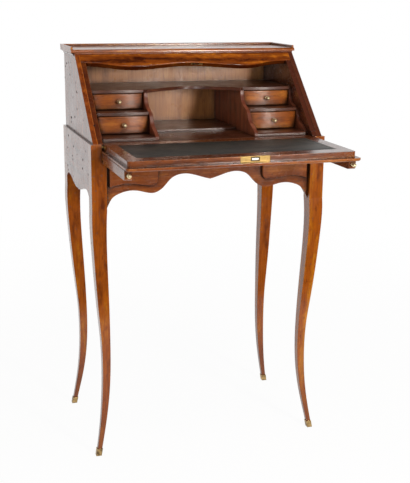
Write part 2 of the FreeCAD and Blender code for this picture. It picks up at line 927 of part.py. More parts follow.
def bolt_blank(grown):
    """The outline of the bolt, drawn back flush with the lock plate."""
    half = bolt_width / 2 + grown
    return box(
        lock_centre_x - half,
        lock_centre_x + half,
        flap_edge_y,
        flap_edge_y + bolt_length + grown,
        bolt_z - bolt_thickness / 2 - grown,
        bolt_z + bolt_thickness / 2 + grown,
    )


def keyhole():
    """The keyhole from the outer face of the flap up into the lock case."""
    y = flap_edge_y + key_axis_inset
    depth = bolt_z - bolt_thickness / 2 - bolt_clearance - flap_bottom_z
    start = Vector(lock_centre_x, y, flap_bottom_z - cut_overrun)
    height = cut_overrun + depth
    round_part = rod(keyhole_radius, start, Z_AXIS, height)
    half = keyhole_slot_width / 2
    slot = box(
        lock_centre_x - half,
        lock_centre_x + half,
        y,
        y + keyhole_slot_length,
        start.z,
        start.z + height,
    )
    return round_part.fuse(slot)


def escutcheon_blank():
    """The oval outline of the keyhole plate, flush in the outer face of the flap."""
    middle = flap_edge_y + key_axis_inset + keyhole_slot_length / 2
    centre = Vector(lock_centre_x, middle, flap_bottom_z)
    oval = Part.Ellipse(
        centre + Y_AXIS * escutcheon_half_height, centre + X_AXIS * escutcheon_half_width, centre
    )
    return Part.Face(Part.Wire(oval.toShape())).extrude(Z_AXIS * escutcheon_thickness)


def leather():
    """The writing skin, flush in the flap."""
    half = flap_half - leather_side_border
    y0 = flap_edge_y + leather_front_border
    y1 = flap_pivot_y - leather_rear_border + pivot_plate_behind
    return box(-half, half, y0, y1, writing_height - leather_thickness, writing_height)


def flap_board(cutters):
    """The flap, laid open: the main board, its round rear edge and the lip that laps the case."""
    main = box(-flap_half, flap_half, flap_edge_y, flap_pivot_y, rebate_z, writing_height)
    nose = rod(flap_nose_radius, Vector(-flap_half, flap_pivot_y, pivot_z), X_AXIS, 2 * flap_half)
    above = box(
        -half_case,
        half_case,
        flap_pivot_y - case_depth,
        flap_pivot_y + case_depth,
        writing_height,
        writing_height + case_depth,
    )
    under_y = flap_pivot_y - lip_start
    under = box(-flap_half, flap_half, under_y, flap_pivot_y, flap_bottom_z, rebate_z)
    lip = box(-lip_half, lip_half, flap_front_y, under_y, flap_bottom_z, rebate_z)

    def corner(edge):
        bound = edge.BoundBox
        return bound.ZLength > lip_gap and bound.YMax < flap_edge_y + board_clearance

    main = rounded(main, flap_corner_rounding, corner)
    lip = rounded(lip, flap_corner_rounding, corner)

    def outer(edge):
        bound = edge.BoundBox
        rear = bound.YMin > under_y - board_clearance
        return level(edge, flap_bottom_z) and not rear

    lip = rounded(lip, lip_rounding, outer)
    board = main.multiFuse([nose.cut(above), under, lip]).removeSplitter()
    for cutter in cutters:
        board = board.cut(cutter)
    return board


def save(name, *shapes):
    """Write one node, moved so that the origin lies under the middle of the open desk."""
    shape = shapes[0].copy() if len(shapes) == 1 else Part.makeCompound(list(shapes))
    shape.translate(Vector(0, -origin_y, 0))
    shape.exportStep("parts/" + name + ".step")


def save_pair(name, shape):
    """Write a right-hand piece and its mirror image as two nodes."""
    save(name + "_right", shape)
    save(name + "_left", mirrored(shape))


def save_lower_case():
    """Legs with their shoes, aprons, bed and loper guides."""
    front_leg = leg(True)
    rear_leg = leg(False)
    save_pair("front_leg", front_leg)
    save_pair("rear_leg", rear_leg)
    shoes = [sabot(True, front_leg), sabot(False, rear_leg)]
    save("sabots", *shoes, *[mirrored(s) for s in shoes])
    save("front_apron", front_apron())
    save_pair("side_apron", side_apron())
    save("back_apron", back_apron())
    save("bed_board", bed_board())
    save("bed_bearer", bed_bearer())
    guide = loper_guide()
    save("loper_guides", guide, mirrored(guide))
    bush = pivot_bush()
    save("pivot_bushes", bush, mirrored(bush))


def save_lopers():
    """The two lopers with their knobs and stop pegs."""
    bar, grip, peg = loper()
    save_pair("loper", bar)
    save_pair("loper_knob", grip)
    save_pair("loper_peg", peg)


def save_upper_case():
    """Sides, back, top and their mouldings, and the frieze with its strike."""
    save_pair("upper_side", upper_side())
    save("back_panel", back_panel())
    save("top_board", top_board())
    save("gallery_rails", *gallery_rails())
    save("front_bead", front_bead())
    cove = side_cove()
    save("side_coves", cove, mirrored(cove))
    save("frieze", frieze())
    save("strike_plate", strike_plate())


def save_interior():
    """Shelf, partitions, linings, dividers, plinths, raised floor and the four drawers."""
    save("shelf", shelf())
    save_pair("partition", partition())
    pairs = (
        ("drawer_linings", drawer_lining()),
        ("drawer_dividers", drawer_divider()),
        ("drawer_plinths", drawer_plinth()),
    )
    for name, shape in pairs:
        save(name, shape, mirrored(shape))
    save("centre_floor", centre_floor())
    tiers = (
        ("upper", upper_drawer_front, divider_top_z, shelf_bottom_z),
        ("lower", lower_drawer_front, plinth_top_z, divider_bottom_z),
    )
    for tier, front_at, low_z, high_z in tiers:
        front, walls, bottom, grip = drawer(front_at, low_z, high_z)
        save_pair(tier + "_drawer_front", front)
        save(tier + "_drawer_walls_right", *walls)
        save(tier + "_drawer_walls_left", *[mirrored(w) for w in walls])
        save_pair(tier + "_drawer_bottom", bottom)
        save_pair(tier + "_drawer_knob", grip)


def save_flap():
    """The flap with its leather, pivot fittings and lock."""
    fitting = pivot_fitting()
    fittings = [fitting, mirrored(fitting)]
    right_screws = pivot_screws()
    screws = right_screws + [mirrored(s) for s in right_screws]
    edge_screws = lock_screws()
    hole = keyhole()
    oval = escutcheon_blank()
    skin = leather()
    cutters = fittings + screws + edge_screws
    cutters += [lock_plate_blank(), lock_case_blank(0), hole, oval, skin]
    save("flap_board", flap_board(cutters))
    save("writing_leather", skin)
    for piece in screws:
        fittings = [f.cut(piece) for f in fittings]
    save("pivot_plates", *fittings)
    save("pivot_screws", *screws)
    plate = lock_plate_blank().cut(bolt_blank(bolt_clearance))
    for piece in edge_screws:
        plate = plate.cut(piece)
    save("lock_plate", plate)
    save("lock_screws", *edge_screws)
    save("lock_case", lock_case_blank(0).cut(bolt_blank(bolt_clearance)).cut(hole))
    save("lock_bolt", bolt_blank(0))
    save("escutcheon", oval.cut(hole))


os.makedirs("parts", exist_ok=True)
save_lower_case()
save_lopers()
save_upper_case()
save_interior()
save_flap()
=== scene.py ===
"""Looks of the escritoire: materials, turned and slotted brass pieces, light and camera.

Metres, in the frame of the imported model.
"""
import math
from typing import NamedTuple, Optional

import bmesh
import bpy
from mathutils import Matrix, Vector


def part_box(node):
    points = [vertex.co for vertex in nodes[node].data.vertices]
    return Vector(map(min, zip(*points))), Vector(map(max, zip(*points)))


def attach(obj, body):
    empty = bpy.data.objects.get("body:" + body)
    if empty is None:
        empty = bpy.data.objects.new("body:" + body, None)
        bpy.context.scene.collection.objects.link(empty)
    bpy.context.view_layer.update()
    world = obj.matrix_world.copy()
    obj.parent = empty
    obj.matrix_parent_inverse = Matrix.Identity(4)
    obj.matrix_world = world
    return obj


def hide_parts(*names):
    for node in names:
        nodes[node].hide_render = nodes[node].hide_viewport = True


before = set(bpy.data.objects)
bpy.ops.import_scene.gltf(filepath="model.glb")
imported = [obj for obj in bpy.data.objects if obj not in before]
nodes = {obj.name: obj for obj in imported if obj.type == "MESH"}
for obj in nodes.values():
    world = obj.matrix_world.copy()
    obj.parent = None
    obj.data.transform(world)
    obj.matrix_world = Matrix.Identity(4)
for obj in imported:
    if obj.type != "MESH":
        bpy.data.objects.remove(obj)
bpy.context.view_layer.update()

# Camera, read from the desk's own edges in the photograph
image_height_px = 483
focal_px = 963.95
camera_place = Vector((-0.6863, -2.1231, 1.0773))
camera_yaw = 0.314
camera_pitch = 0.254
camera_roll = 0.0088
sensor_height_mm = 36.0

# Linear colours: dark, middle and light of each wood
fruit_tones = ((0.085, 0.015, 0.001), (0.262, 0.059, 0.002), (0.420, 0.142, 0.005))
flap_tones = ((0.065, 0.013, 0.003), (0.200, 0.048, 0.008), (0.340, 0.110, 0.018))
frieze_tones = ((0.040, 0.006, 0.001), (0.190, 0.040, 0.003), (0.450, 0.130, 0.009))
panel_tones = ((0.045, 0.008, 0.002), (0.180, 0.034, 0.003), (0.380, 0.095, 0.007))
shade_tones = ((0.058, 0.012, 0.005), (0.170, 0.044, 0.017), (0.280, 0.084, 0.028))
inner_tones = ((0.150, 0.048, 0.011), (0.325, 0.126, 0.034), (0.470, 0.220, 0.076))
floor_tones = ((0.024, 0.006, 0.003), (0.066, 0.017, 0.007), (0.130, 0.040, 0.016))
upright_tones = ((0.090, 0.020, 0.009), (0.250, 0.062, 0.027), (0.390, 0.120, 0.052))
drawer_tones = ((0.060, 0.012, 0.002), (0.225, 0.055, 0.005), (0.370, 0.118, 0.014))
lining_tones = ((0.160, 0.085, 0.038), (0.330, 0.200, 0.100), (0.440, 0.290, 0.160))
dark_tone = 0
light_tone = 2

# Linear colours of dents, of grime with painted shade, of leather and of metals
dent_colour = (0.006, 0.003, 0.002)
grime_and_shade_colour = (0.010, 0.005, 0.003)
leather_dark = (0.004, 0.005, 0.004)
leather_mid = (0.030, 0.025, 0.014)
leather_worn = (0.072, 0.046, 0.026)
brass_bright = (0.95, 0.80, 0.50)
brass_dull = (0.50, 0.33, 0.13)
plate_bright = (0.30, 0.205, 0.075)
plate_dull = (0.16, 0.09, 0.03)
shoe_bright = (0.50, 0.33, 0.14)
shoe_dull = (0.035, 0.020, 0.012)
steel_bright = (0.62, 0.61, 0.58)
steel_dull = (0.20, 0.19, 0.18)

# What materials share: samples of a point's surroundings, how far a normal's cosine falls on an arris,
# how far one object's pattern may be moved from another's, and the span of a noise in which the gloss changes
shading_samples = 6
arris_starts = 0.995
arris_full = 0.90
object_shift = (3.1, 5.7, 2.3)
gloss_span = (0.3, 0.7)


class Tree:
    """The node tree of a material or a world, with short calls to add nodes to it."""

    def __init__(self, owner):
        owner.use_nodes = True
        self.nodes = owner.node_tree.nodes
        self.links = owner.node_tree.links

    def feed(self, socket, value):
        """Link an input to another node's output, or set its value."""
        if isinstance(value, bpy.types.NodeSocket):
            self.links.new(value, socket)
        elif socket.type == "RGBA":
            socket.default_value = (*value, 1.0)
        else:
            socket.default_value = value

    def put(self, node, key, value):
        """Feed one input of a node, found by its name."""
        wanted = key.lower()
        self.feed(next(s for s in node.inputs if s.enabled and s.name.lower() == wanted), value)

    def add(self, kind, settings=None, **inputs):
        """A node with its settings, and its inputs as values or as other nodes' outputs."""
        node = self.nodes.new(kind)
        for key, value in (settings or {}).items():
            setattr(node, key, value)
        for key, value in inputs.items():
            self.put(node, key.replace("_", " "), value)
        return node

    def add_in_order(self, kind, settings, inputs):
        """A node whose inputs share a name, so that each is given with its place among them."""
        node = self.add(kind, settings)
        for index, value in inputs:
            self.feed(node.inputs[index], value)
        return node

    def math(self, operation, *values, clamp=False):
        """One sum on numbers."""
        settings = {"operation": operation, "use_clamp": clamp}
        return self.add_in_order("ShaderNodeMath", settings, enumerate(values)).outputs[0]

    def vectors(self, operation, *values):
        """The node of one sum on vectors."""
        return self.add_in_order("ShaderNodeVectorMath", {"operation": operation}, enumerate(values))

    def span(self, value, low, high, to_low=0.0, to_high=1.0):
        """A number taken smoothly from one span to another."""
        return self.add(
            "ShaderNodeMapRange",
            {"interpolation_type": "SMOOTHSTEP"},
            Value=value,
            From_Min=low,
            From_Max=high,
            To_Min=to_low,
            To_Max=to_high,
        ).outputs["Result"]

    def mix(self, share, a, b):
        """Two colours mixed by a share."""
        inputs = ((0, share), (6, a), (7, b))
        return self.add_in_order("ShaderNodeMix", {"data_type": "RGBA"}, inputs).outputs[2]

    def between(self, share, a, b):
        """A number taken from one to another by a share."""
        inputs = ((0, share), (2, a), (3, b))
        return self.add_in_order("ShaderNodeMix", {"data_type": "FLOAT"}, inputs).outputs[0]

    def part(self, vector, axis):
        """A vector's part along one axis."""
        return self.add("ShaderNodeSeparateXYZ", Vector=vector).outputs[axis]

    def noise(self, vector, scale, detail=2.0, roughness=0.5, distortion=0.0):
        """A smooth noise between 0 and 1."""
        return self.add(
            "ShaderNodeTexNoise",
            Vector=vector,
            Scale=scale,
            Detail=detail,
            Roughness=roughness,
            Distortion=distortion,
        ).outputs[0]

    def stretched(self, vector, *scales):
        """Coordinates scaled along each axis."""
        return self.add("ShaderNodeMapping", Vector=vector, Scale=scales).outputs[0]


class Surface(Tree):
    """A new material of the desk."""

    def __init__(self, name):
        self.material = bpy.data.materials.new(name)
        super().__init__(self.material)
        self.shader = self.nodes["Principled BSDF"]

    def place(self):
        """The object's own coordinates, as they are and moved by a different amount for each object."""
        chance = self.add("ShaderNodeObjectInfo").outputs["Random"]
        reaches = [self.math("MULTIPLY", chance, reach) for reach in object_shift]
        shift = self.add_in_order("ShaderNodeCombineXYZ", {}, enumerate(reaches)).outputs[0]
        coords = self.add("ShaderNodeTexCoord").outputs["Object"]
        return coords, self.vectors("ADD", coords, shift).outputs[0]

    def arris(self, radius):
        """The normal with softened arrises, and how near a point is to an arris."""
        soft = self.add("ShaderNodeBevel", {"samples": shading_samples}, Radius=radius).outputs[0]
        sharp = self.add("ShaderNodeNewGeometry").outputs["Normal"]
        cosine = self.vectors("DOT_PRODUCT", soft, sharp).outputs["Value"]
        return soft, self.span(cosine, arris_starts, arris_full)

    def openness(self, reach):
        """How open a point lies to what is within reach: 1 in the open, less in a corner."""
        node = self.add("ShaderNodeAmbientOcclusion", {"samples": shading_samples}, Distance=reach)
        return node.outputs["AO"]

    def bump(self, height, depth, normal):
        """A bump of a depth in metres over a normal."""
        node = self.add("ShaderNodeBump", Strength=1.0, Distance=depth, Height=height, Normal=normal)
        return node.outputs[0]


class StainAndShade(NamedTuple):
    """Darkening of the faces that look one way (1 or -1) along an axis: partly stain, partly painted shade.
    """

    axis: str
    way: int
    strength: float


class Finish(NamedTuple):
    """How a wood is finished: colours, gloss, polish, dents, dirt and wear, with painted shade and painted
    highlights.
    """

    tones: tuple
    roughness: float = 0.24
    ior: float = 1.3
    # the coat of polish
    coat: float = 0.5
    polish_roughness: float = 0.12
    # strength of the dents, and of the grime and painted shade in corners and between parts
    dents: float = 0.0
    grime_and_shade: float = 0.70
    # how open a corner is that holds all of its grime and painted shade
    grime_and_shade_full: float = 0.38
    # radius of the arrises, and the tone and strength with which they are rubbed; a light tone also paints a
    # highlight on them, a dark tone painted shade
    soften: float = 0.0020
    arris_wear_and_shading_tone: int = light_tone
    arris_wear_and_shading_strength: float = 0.45
    # contrast of the grain
    contrast: float = 1.0
    # distance of a rebate's arris from the desk's middle
    rebate_x: Optional[float] = None
    # darkening of the faces that look one way, partly stain and partly painted shade
    stain_and_shade_facing: Optional[StainAndShade] = None
    # how much darker the legs grow towards the feet
    darker_to_feet: float = 0.0


side_rebate_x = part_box("frieze")[1].x
finishes = {
    "fruit": Finish(fruit_tones, roughness=0.20, coat=0.55, dents=0.3, contrast=1.15, darker_to_feet=0.55),
    "flap": Finish(
        flap_tones, coat=0.42, dents=0.3, grime_and_shade=0.80, contrast=1.5, stain_and_shade_facing=StainAndShade("Z", 1, 0.65),
    ),
    "bed": Finish(
        floor_tones, roughness=0.30, ior=1.25, coat=0.10, polish_roughness=0.20, grime_and_shade=0.65, soften=0.0014,
        contrast=1.2,
    ),
    "apron": Finish(
        flap_tones, roughness=0.26, dents=0.3, grime_and_shade=0.88, grime_and_shade_full=0.60, soften=0.0012, contrast=1.4,
    ),
    "top": Finish(
        fruit_tones, roughness=0.30, coat=0.72, polish_roughness=0.16, dents=0.3, soften=0.0016, contrast=1.5,
    ),
    "panel": Finish(panel_tones, dents=1.0, soften=0.0022),
    "side": Finish(panel_tones, dents=1.0, soften=0.0022, rebate_x=side_rebate_x),
    "shade": Finish(
        shade_tones, coat=0.7, dents=0.6, soften=0.0022, rebate_x=side_rebate_x,
        stain_and_shade_facing=StainAndShade("Y", -1, 0.75),
    ),
    "frieze": Finish(
        frieze_tones, roughness=0.22, ior=1.2, coat=0.25, dents=0.3, grime_and_shade=0.80, soften=0.0016, contrast=1.8,
        stain_and_shade_facing=StainAndShade("Z", -1, 0.75),
    ),
    "bead": Finish(shade_tones, coat=0.4, grime_and_shade=0.80, soften=0.0008, stain_and_shade_facing=StainAndShade("Z", -1, 0.8)),
    "inner": Finish(
        inner_tones, roughness=0.31, ior=1.37, coat=0.0, polish_roughness=0.25, grime_and_shade=0.60, contrast=0.9,
    ),
    "floor": Finish(
        floor_tones, roughness=0.32, ior=1.42, coat=0.22, polish_roughness=0.20, grime_and_shade=0.65, soften=0.0014,
        contrast=1.2,
    ),
    "upright": Finish(
        upright_tones, roughness=0.36, ior=1.32, coat=0.15, polish_roughness=0.20, grime_and_shade=0.65, soften=0.0016,
        contrast=1.2, stain_and_shade_facing=StainAndShade("Y", -1, 0.85),
    ),
    "drawer": Finish(
        drawer_tones, roughness=0.30, ior=1.25, coat=0.36, polish_roughness=0.20, grime_and_shade=0.90, grime_and_shade_full=0.50,
        soften=0.0036, arris_wear_and_shading_tone=dark_tone, arris_wear_and_shading_strength=0.85, contrast=1.5,
    ),
    "lining": Finish(
        lining_tones, roughness=0.62, ior=1.4, coat=0.0, polish_roughness=0.30, dents=0.3, grime_and_shade=0.40,
        soften=0.0012,
    ),
}


class Noise(NamedTuple):
    """A noise with its stretch along the grain."""

    stretch: float
    scale: float
    detail: float
    roughness: float = 0.5
    distortion: float = 0.0


class Marks(NamedTuple):
    """Dark marks in a wood: their noise, where in it they start and are full, and their strength."""

    noise: Noise
    start: float
    full: float
    strength: float


# Grain of every wood: what makes its tone, with weights, and the dark marks over it
figure = Noise(0.10, 34.0, 5.0, 0.62, 1.2)
patina = Noise(0.35, 6.5, 3.0, 0.55, 0.8)
mottle = Noise(0.40, 95.0, 3.0, 0.6, 0.6)
tone_weights = ((figure, 0.36), (patina, 0.24), (mottle, 0.28))
ring_weight = 0.12
ring_stretch = 0.16
ring_settings = {"Scale": 11.0, "Distortion": 7.0, "Detail": 3.0, "Detail_Scale": 1.6}
tone_middle = 0.50
tone_least_reach = 0.01
tone_reach = 0.20
fibre = Marks(Noise(0.03, 300.0, 3.0, 0.6), 0.40, 0.72, 0.42)
flecks = Marks(Noise(0.14, 130.0, 2.0, 0.5, 0.8), 0.61, 0.72, 0.5)
pores = Marks(Noise(0.06, 520.0, 1.0), 0.62, 0.74, 0.4)


def drawn_out(tree, vector, axis, stretch):
    """Coordinates for a pattern that is drawn out along one axis."""
    return tree.stretched(vector, *(stretch if letter == axis else 1.0 for letter in "XYZ"))


def grained(tree, vector, axis, noise):
    """A noise that runs with the grain."""
    return tree.noise(drawn_out(tree, vector, axis, noise.stretch), *noise[1:])


def wood_colour(tree, axis, moved, finish):
    """Grain: rings, figure, patina, mottle, fibre, flecks and pores. Gives the colour and the pores."""
    dark, mid, light = finish.tones
    ring_coords = drawn_out(tree, moved, axis, ring_stretch)
    ring_kind = {"wave_type": "RINGS", "rings_direction": axis}
    rings = tree.add("ShaderNodeTexWave", ring_kind, Vector=ring_coords, **ring_settings).outputs["Fac"]
    tone = tree.math("MULTIPLY", rings, ring_weight)
    for noise, weight in tone_weights:
        tone = tree.math("ADD", tone, tree.math("MULTIPLY", grained(tree, moved, axis, noise), weight))
    reach = tone_least_reach + tone_reach / finish.contrast
    colour = tree.mix(tree.span(tone, tone_middle - reach, tone_middle), dark, mid)
    colour = tree.mix(tree.span(tone, tone_middle, tone_middle + reach), colour, light)
    masks = []
    for marks in (fibre, flecks, pores):
        masks.append(tree.span(grained(tree, moved, axis, marks.noise), marks.start, marks.full))
        colour = tree.mix(tree.math("MULTIPLY", masks[-1], marks.strength), colour, dark)
    return colour, masks[-1]


# The rebate of a side: darker inside it, and a lighter line along its arris that is rubbed wear and a painted
# highlight
rebate_edge = 0.0004
rebate_darkening_strength = 0.75
rebate_rub_and_highlight_half_width = 0.0012
rebate_rub_and_highlight_strength = 0.9


def rebate_darkening(tree, coords, colour, finish):
    """Darken the rebate that the shut flap rests in, and lighten a line along its arris as rubbed wear and a
    painted highlight.
    """
    off = tree.math("SUBTRACT", tree.math("ABSOLUTE", tree.part(coords, "X")), finish.rebate_x)
    darkening = tree.span(off, rebate_edge, -rebate_edge, 0.0, rebate_darkening_strength)
    colour = tree.mix(darkening, colour, finish.tones[dark_tone])
    away = tree.math("ABSOLUTE", off)
    # a lighter line along the rebate's arris: rubbed wear and a painted highlight
    rub_and_highlight = tree.span(away, rebate_rub_and_highlight_half_width, rebate_edge, 0.0, rebate_rub_and_highlight_strength)
    return tree.mix(rub_and_highlight, colour, finish.tones[light_tone])


# How squarely a face looks along an axis where its stain and painted shade start and are full, and the
# heights between which the legs grow darker towards the feet
stain_and_shade_starts = 0.2
stain_and_shade_full = 0.6
darker_to_feet_top = 0.24
darker_to_feet_full = 0.02


def worn_and_shaded_colour(tree, coords, colour, worn, finish):
    """Darken the rebate, the faces that look one way (stain and painted shade) and the legs towards the feet,
    and rub the arrises, with a painted highlight in a light tone and painted shade in a dark one.
    """
    dark = finish.tones[dark_tone]
    if finish.rebate_x:
        colour = rebate_darkening(tree, coords, colour, finish)
    # the rubbed arris is wear, and with a light tone also a painted highlight; with a dark tone, as on the
    # drawers, it is painted shade
    rubbed = tree.math("MULTIPLY", worn, finish.arris_wear_and_shading_strength)
    colour = tree.mix(rubbed, colour, finish.tones[finish.arris_wear_and_shading_tone])
    # faces that look one way are darkened: partly stain, partly painted shade
    if finish.stain_and_shade_facing:
        axis, way, strength = finish.stain_and_shade_facing
        facing = tree.part(tree.add("ShaderNodeTexCoord").outputs["Normal"], axis)
        darker_share = tree.span(tree.math("MULTIPLY", facing, way), stain_and_shade_starts, stain_and_shade_full, 0.0, strength)
        colour = tree.mix(darker_share, colour, dark)
    # the legs grow darker towards the feet
    if finish.darker_to_feet:
        darkening = tree.span(tree.part(coords, "Z"), darker_to_feet_top, darker_to_feet_full, 0.0, finish.darker_to_feet)
        colour = tree.mix(darkening, colour, dark)
    return colour


class Dents(NamedTuple):
    """Dents, one in a share of the cells of a pattern that may be drawn out along Y."""

    stretch: float
    cells_in_metre: float
    share: float
    radius_in_cells: float


# Dents in the wood, and their outline in shares of the radius
small_dents = Dents(1.0, 75.0, 0.80, 0.085)
large_dents = Dents(0.55, 52.0, 0.75, 0.160)
dent_outside = 1.5
dent_inside = 1.1
dent_wobble = 3.0
dent_pick_step = 0.02


def dent_mask(tree, coords, dents):
    """Ragged spots in a share of the cells of a pattern."""
    coords = tree.stretched(coords, 1.0, dents.stretch, 1.0)
    radius = dents.radius_in_cells
    wobble = tree.noise(coords, dents.cells_in_metre * dent_wobble)
    cell = tree.add("ShaderNodeTexVoronoi", Vector=coords, Scale=dents.cells_in_metre)
    pick = tree.add("ShaderNodeSeparateColor", Color=cell.outputs["Color"]).outputs[0]
    reach = tree.math("ADD", cell.outputs["Distance"], tree.math("MULTIPLY", wobble, radius))
    spot = tree.span(reach, dent_outside * radius, dent_inside * radius)
    first_pick = 1.0 - dents.share
    return tree.math("MULTIPLY", spot, tree.span(pick, first_pick, first_pick + dent_pick_step))


# Surface of the woods
# how far the grime and painted shade look for nearby surfaces, and how open a point is where they start
grime_and_shade_reach = 0.020
grime_and_shade_starts = 0.92
wax_noise = (26.0, 3.0, 0.6)
wax_gloss = -0.04
wax_dullness = 0.06
pore_dullness = 0.10
dent_dullness = 0.6
ripple = Noise(0.30, 22.0, 1.0)
ripple_depth = 0.00018
pore_depth_share = 0.4
dent_depth = 0.0004
polish_ior = 1.5


def wood(name, axis, finish):
    """A polished wood, with dents, grime and painted shade in its corners and between parts, and rubbed
    arrises that also carry a painted highlight, or painted shade where their tone is dark.
    """
    tree = Surface(name)
    coords, moved = tree.place()
    soft, worn = tree.arris(finish.soften)
    colour, pore = wood_colour(tree, axis, moved, finish)
    colour = worn_and_shaded_colour(tree, coords, colour, worn, finish)
    spots = [dent_mask(tree, coords, dents) for dents in (small_dents, large_dents)]
    dent = tree.math("MULTIPLY", tree.math("MAXIMUM", *spots), finish.dents)
    colour = tree.mix(dent, colour, dent_colour)
    # grime and painted shade: darker towards the grime colour where a point is closed in, in corners and
    # between parts
    darkening = tree.span(tree.openness(grime_and_shade_reach), grime_and_shade_starts, finish.grime_and_shade_full, 0.0, finish.grime_and_shade)
    tree.put(tree.shader, "Base Color", tree.mix(darkening, colour, grime_and_shade_colour))
    wax = tree.noise(moved, *wax_noise)
    rough = tree.span(wax, *gloss_span, finish.roughness + wax_gloss, finish.roughness + wax_dullness)
    rough = tree.math("ADD", rough, tree.math("MULTIPLY", pore, pore_dullness))
    rough = tree.math("ADD", rough, tree.math("MULTIPLY", dent, dent_dullness), clamp=True)
    tree.put(tree.shader, "Roughness", rough)
    polished = tree.math("SUBTRACT", 1.0, tree.math("MAXIMUM", dent, darkening))
    tree.put(tree.shader, "Coat Weight", tree.math("MULTIPLY", polished, finish.coat))
    normal = tree.bump(grained(tree, moved, axis, ripple), ripple_depth, soft)
    pits = tree.math("MAXIMUM", tree.math("MULTIPLY", pore, pore_depth_share), dent)
    tree.put(tree.shader, "Normal", tree.bump(tree.math("SUBTRACT", 1.0, pits), dent_depth, normal))
    tree.put(tree.shader, "Coat Normal", normal)
    tree.put(tree.shader, "IOR", finish.ior)
    tree.put(tree.shader, "Coat Roughness", finish.polish_roughness)
    tree.put(tree.shader, "Coat IOR", polish_ior)
    return tree.material


def edge_depth(tree, coords, low, high, axes):
    """How far inside the edge of an oblong a point lies, over two axes."""
    gaps = []
    for axis in axes:
        index = "XYZ".index(axis)
        middle = (low[index] + high[index]) / 2
        half = (high[index] - low[index]) / 2
        off = tree.math("ABSOLUTE", tree.math("SUBTRACT", tree.part(coords, axis), middle))
        gaps.append(tree.math("SUBTRACT", half, off))
    return tree.math("MINIMUM", *gaps)


# Writing skin
pebbles_in_metre = 900.0
pebble_depth = 0.00012
patch_stretch = (1.0, 1.6, 1.0)
patch_noise = (7.0, 6.0, 0.70, 0.5)
patch_span = (0.32, 0.68)
scuff_stretch = (0.16, 1.0, 1.0)
scuff_noise = (75.0, 4.0, 0.65, 0.4)
scuff_span = (0.48, 0.68)
scuffed_patch_span = (0.40, 0.62)
scuff_strength = 0.7
tooled_insets = (0.007, 0.0095)
tooled_outside = 0.0009
tooled_inside = 0.0004
tooled_strength = 0.6
tooled_depth = 0.0004
rubbed_edge_width = 0.003
rubbed_edge_full = 0.0005
rubbed_edge_strength = 0.5
leather_dull = 0.56
leather_shiny = 0.44
leather_edge_radius = 0.0006
leather_ior = 1.4


def leather(name, low, high):
    """Old writing skin: fine grain, two blind-tooled lines inside its edge, rubbed patches and scratches."""
    tree = Surface(name)
    coords, moved = tree.place()
    patch = tree.noise(tree.stretched(moved, *patch_stretch), *patch_noise)
    scuff = tree.noise(tree.stretched(moved, *scuff_stretch), *scuff_noise)
    colour = tree.mix(tree.span(patch, *patch_span), leather_dark, leather_mid)
    worn = tree.math("MULTIPLY", tree.span(scuff, *scuff_span), tree.span(patch, *scuffed_patch_span))
    colour = tree.mix(tree.math("MULTIPLY", worn, scuff_strength), colour, leather_worn)
    edge = edge_depth(tree, coords, low, high, "XY")
    lines = []
    for inset in tooled_insets:
        off = tree.math("ABSOLUTE", tree.math("SUBTRACT", edge, inset))
        lines.append(tree.span(off, tooled_outside, tooled_inside))
    tooled = tree.math("MAXIMUM", *lines)
    colour = tree.mix(tree.math("MULTIPLY", tooled, tooled_strength), colour, leather_dark)
    rubbed = tree.span(edge, rubbed_edge_width, rubbed_edge_full, 0.0, rubbed_edge_strength)
    tree.put(tree.shader, "Base Color", tree.mix(rubbed, colour, leather_worn))
    tree.put(tree.shader, "Roughness", tree.span(patch, *gloss_span, leather_dull, leather_shiny))
    soft, _ = tree.arris(leather_edge_radius)
    cells = tree.add("ShaderNodeTexVoronoi", {"feature": "SMOOTH_F1"}, Vector=coords, Scale=pebbles_in_metre)
    normal = tree.bump(cells.outputs["Distance"], pebble_depth, soft)
    tree.put(tree.shader, "Normal", tree.bump(tree.math("SUBTRACT", patch, tooled), tooled_depth, normal))
    tree.put(tree.shader, "IOR", leather_ior)
    return tree.material


# Metals: name, bright and dull colour, roughness and tarnish of each, and what they share
metals = {
    "brass": ("old_brass", brass_bright, brass_dull, 0.44, 0.2),
    "shoe": ("shoe_brass", shoe_bright, shoe_dull, 0.34, 0.95),
    "plate": ("plate_brass", plate_bright, plate_dull, 0.40, 0.3),
    "steel": ("worn_steel", steel_bright, steel_dull, 0.30, 0.5),
}
tarnish_noise = (70.0, 5.0, 0.6, 0.3)
tarnish_span = (0.42, 0.72)
rub_stretch = (1.0, 0.15, 1.0)
rub_scale = 900.0
rub_depth = 0.00004
metal_dirt_reach = 0.006
metal_dirt_span = (0.85, 0.25)
metal_dirt_strength = 0.8
metal_gloss_span = (0.25, 0.75)
metal_gloss = -0.06
metal_dullness = 0.12
metal_edge_radius = 0.0007
hole_dirt_width = 0.0034
hole_dirt_full = 0.0018
hole_dirt_strength = 0.92


def metal(name, bright, dull, roughness, tarnish, hole=None):
    """Metal with tarnish, fine rubbing marks and, where asked, dirt round an oblong hole along Y."""
    tree = Surface(name)
    coords, moved = tree.place()
    cloud = tree.noise(moved, *tarnish_noise)
    darker_share = tree.math("MULTIPLY", tree.span(cloud, *tarnish_span), tarnish)
    darkening = tree.span(tree.openness(metal_dirt_reach), *metal_dirt_span, 0.0, metal_dirt_strength)
    colour = tree.mix(tree.math("MAXIMUM", darker_share, darkening), bright, dull)
    if hole:
        depth = edge_depth(tree, coords, *hole, "XZ")
        ring = tree.span(depth, -hole_dirt_width, -hole_dirt_full, 0.0, hole_dirt_strength)
        colour = tree.mix(ring, colour, grime_and_shade_colour)
    tree.put(tree.shader, "Base Color", colour)
    rough = tree.span(cloud, *metal_gloss_span, roughness + metal_gloss, roughness + metal_dullness)
    tree.put(tree.shader, "Roughness", rough)
    soft, _ = tree.arris(metal_edge_radius)
    rub = tree.noise(tree.stretched(moved, *rub_stretch), rub_scale)
    tree.put(tree.shader, "Normal", tree.bump(rub, rub_depth, soft))
    tree.put(tree.shader, "Metallic", 1.0)
    return tree.material


